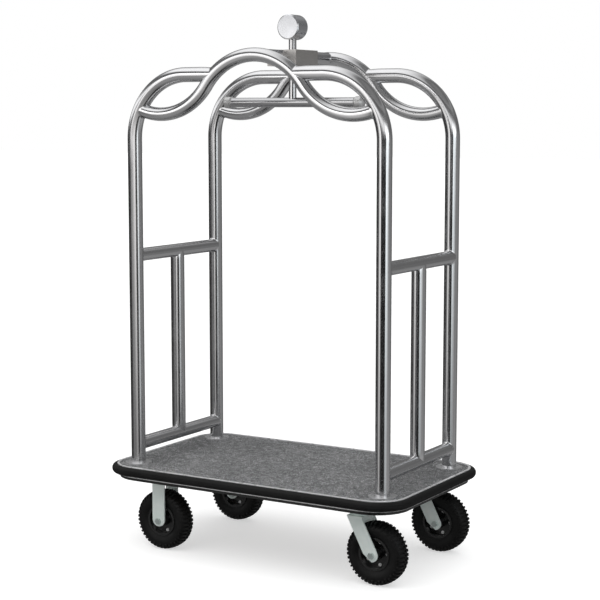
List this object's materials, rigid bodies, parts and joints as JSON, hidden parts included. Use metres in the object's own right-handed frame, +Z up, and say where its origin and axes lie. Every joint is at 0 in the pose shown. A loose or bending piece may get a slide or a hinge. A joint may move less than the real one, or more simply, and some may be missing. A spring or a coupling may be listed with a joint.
{
  "type": "hotel luggage cart",
  "caption": "Hotel luggage cart: twin looped steel-tube arches with a hanging bar over a carpeted deck with a black bumper, on fixed and swivel pneumatic casters.",
  "frame": {"origin": "on the ground under the middle of the deck", "axes": "+X along the deck towards the swivel casters, +Y across the deck towards the back, +Z up"},
  "size_m": [1.136, 0.686, 1.802],
  "materials": {
    "tube_steel": "satin brushed stainless tube",
    "dark_brushed_steel": "coarse brushed stainless box",
    "finial_steel": "satin face, brushed rim",
    "screw_steel": "plain stainless screws",
    "board": "sealed plywood",
    "carpet": "dark grey loop carpet with lighter flecks",
    "trim_metal": "bright rolled edge",
    "bumper_rubber": "black satin ribbed rubber",
    "black_steel": "black paint",
    "zinc": "bright zinc plate, faintly green",
    "bolt_zinc": "bright zinc plate",
    "ball_steel": "polished balls",
    "tyre_rubber": "matt black knobbly rubber",
    "tube_rubber": "smooth black rubber",
    "rim_black": "gloss black pressed steel",
    "rim_bolt_zinc": "bright zinc plate",
    "bearing_steel": "sealed ball bearing"
  },
  "bodies": {
    "cart_frame": {"post_front_left": "tube_steel", "post_front_right": "tube_steel", "post_back_left": "tube_steel", "post_back_right": "tube_steel", "wave_tube_front": "tube_steel", "wave_tube_back": "tube_steel", "upper_rail_left": "tube_steel", "upper_rail_right": "tube_steel", "lower_rail_left": "tube_steel", "lower_rail_right": "tube_steel", "centre_bar_left": "tube_steel", "centre_bar_right": "tube_steel", "cross_tubes": "tube_steel", "centre_rod": "tube_steel", "hanger_bar": "tube_steel", "hanger_end_knobs": "tube_steel", "post_flanges": "tube_steel", "centre_block": "dark_brushed_steel", "finial_disc": "finial_steel", "flange_screws": "screw_steel", "deck_board": "board", "deck_carpet": "carpet", "edge_trim": "trim_metal", "bumper_strip": "bumper_rubber", "base_frame": "black_steel", "fork_front_left": "zinc", "fork_back_left": "zinc", "swivel_plate_front": "zinc", "swivel_plate_back": "zinc", "caster_plate_bolts": "bolt_zinc", "swivel_king_bolts": "bolt_zinc", "axle_bolts_fixed": "bolt_zinc", "axle_spacers_fixed": "bolt_zinc", "swivel_balls": "ball_steel"},
    "fork_front": {"fork_front_right": "zinc", "axle_bolt_front_right": "bolt_zinc", "axle_spacer_front_right": "bolt_zinc"},
    "fork_back": {"fork_back_right": "zinc", "axle_bolt_back_right": "bolt_zinc", "axle_spacer_back_right": "bolt_zinc"},
    "wheel_front_left": {"tyre_front_left": "tyre_rubber", "inner_tube_front_left": "tube_rubber", "rim_front_left": "rim_black", "rim_bolts_front_left": "rim_bolt_zinc", "hub_bearings_front_left": "bearing_steel"},
    "wheel_front_right": {"tyre_front_right": "tyre_rubber", "inner_tube_front_right": "tube_rubber", "rim_front_right": "rim_black", "rim_bolts_front_right": "rim_bolt_zinc", "hub_bearings_front_right": "bearing_steel"},
    "wheel_back_left": {"tyre_back_left": "tyre_rubber", "inner_tube_back_left": "tube_rubber", "rim_back_left": "rim_black", "rim_bolts_back_left": "rim_bolt_zinc", "hub_bearings_back_left": "bearing_steel"},
    "wheel_back_right": {"tyre_back_right": "tyre_rubber", "inner_tube_back_right": "tube_rubber", "rim_back_right": "rim_black", "rim_bolts_back_right": "rim_bolt_zinc", "hub_bearings_back_right": "bearing_steel"}
  },
  "joints": [
    {"name": "swivel_front_right", "type": "hinge", "parent": "cart_frame", "child": "fork_front", "pos_m": [0.3885, -0.226, 0.231], "axis": [0, 0, 1], "continuous": true},
    {"name": "swivel_back_right", "type": "hinge", "parent": "cart_frame", "child": "fork_back", "pos_m": [0.3885, 0.226, 0.231], "axis": [0, 0, 1], "continuous": true},
    {"name": "wheel_spin_front_left", "type": "hinge", "parent": "cart_frame", "child": "wheel_front_left", "pos_m": [-0.372, -0.226, 0.1025], "axis": [0, 1, 0], "continuous": true},
    {"name": "wheel_spin_front_right", "type": "hinge", "parent": "fork_front", "child": "wheel_front_right", "pos_m": [0.4495, -0.226, 0.1025], "axis": [0, 1, 0], "continuous": true},
    {"name": "wheel_spin_back_left", "type": "hinge", "parent": "cart_frame", "child": "wheel_back_left", "pos_m": [-0.372, 0.226, 0.1025], "axis": [0, 1, 0], "continuous": true},
    {"name": "wheel_spin_back_right", "type": "hinge", "parent": "fork_back", "child": "wheel_back_right", "pos_m": [0.4495, 0.226, 0.1025], "axis": [0, 1, 0], "continuous": true}
  ]
}
